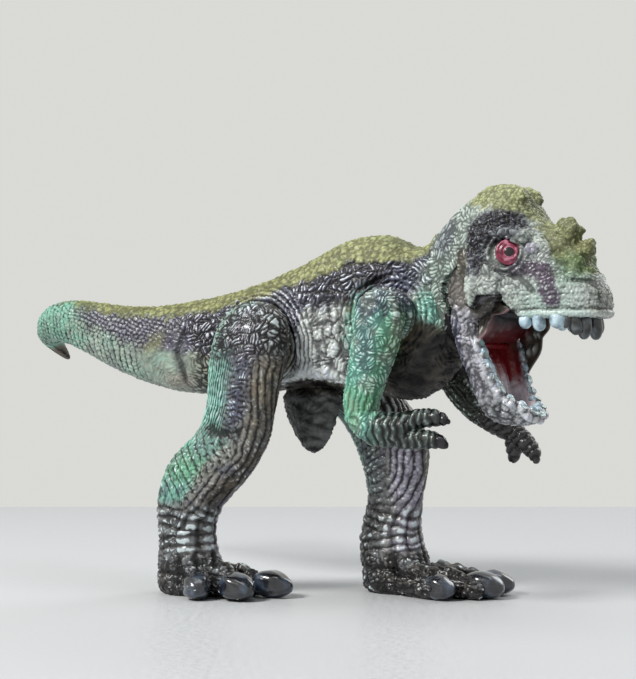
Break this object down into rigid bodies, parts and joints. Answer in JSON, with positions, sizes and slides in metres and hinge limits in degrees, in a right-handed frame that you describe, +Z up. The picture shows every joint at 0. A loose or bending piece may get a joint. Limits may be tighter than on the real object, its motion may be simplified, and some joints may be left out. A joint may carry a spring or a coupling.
{
  "type": "toy dinosaur figure",
  "caption": "Free-standing moulded vinyl toy of a striding two-legged meat-eating dinosaur with a hinged open jaw and arms and legs that turn on round plugs.",
  "frame": {"origin": "on the ground plane, at the middle of the figure's length and width", "axes": "+X the way the body faces, +Y to the figure's left, +Z up"},
  "size_m": [0.1946, 0.0564, 0.1077],
  "materials": {
    "body_vinyl": "semi-gloss moulded vinyl, sprayed purple-black over olive",
    "tail_vinyl": "semi-gloss moulded vinyl, olive above and green at the end",
    "head_vinyl": "semi-gloss moulded vinyl, yellow-olive crown, grey-green sides, dark patches, red eyes",
    "jaw_vinyl": "semi-gloss moulded vinyl, lavender-grey with blue-white teeth",
    "mouth_red": "glossy dark red",
    "pin_steel": "plain drawn wire",
    "green_vinyl": "semi-gloss moulded vinyl, sprayed mint green",
    "dark_vinyl": "semi-gloss moulded vinyl, dark grey",
    "leg_vinyl": "semi-gloss moulded vinyl, green and purple-grey with a near-black foot",
    "shin_vinyl": "semi-gloss moulded vinyl, grey-brown with a near-black foot"
  },
  "bodies": {
    "body": {"torso": "body_vinyl", "tail": "tail_vinyl", "head": "head_vinyl", "jaw_pin": "pin_steel"},
    "jaw": {"lower_jaw": "jaw_vinyl", "tongue": "mouth_red"},
    "right_arm_body": {"right_arm": "green_vinyl"},
    "left_arm_body": {"left_arm": "dark_vinyl"},
    "right_leg_body": {"right_leg": "leg_vinyl"},
    "left_leg_body": {"left_leg": "shin_vinyl"}
  },
  "joints": [
    {"name": "jaw_hinge", "type": "hinge", "parent": "body", "child": "jaw", "pos_m": [0.06606, -0.00279, 0.08085], "axis": [0.2079, 0.9781, 0], "range_deg": [-38, 6]},
    {"name": "right_shoulder", "type": "hinge", "parent": "body", "child": "right_arm_body", "pos_m": [0.03933, -0.0166, 0.075], "axis": [0, 1, 0], "range_deg": [-40, 35]},
    {"name": "left_shoulder", "type": "hinge", "parent": "body", "child": "left_arm_body", "pos_m": [0.03933, 0.0166, 0.075], "axis": [0, 1, 0], "range_deg": [-60, 10]},
    {"name": "right_hip", "type": "hinge", "parent": "body", "child": "right_leg_body", "pos_m": [-0.00015, -0.0178, 0.068], "axis": [0, 1, 0], "range_deg": [-20, 30]},
    {"name": "left_hip", "type": "hinge", "parent": "body", "child": "left_leg_body", "pos_m": [-0.00015, 0.0178, 0.068], "axis": [0, 1, 0], "range_deg": [-10, 30]}
  ]
}
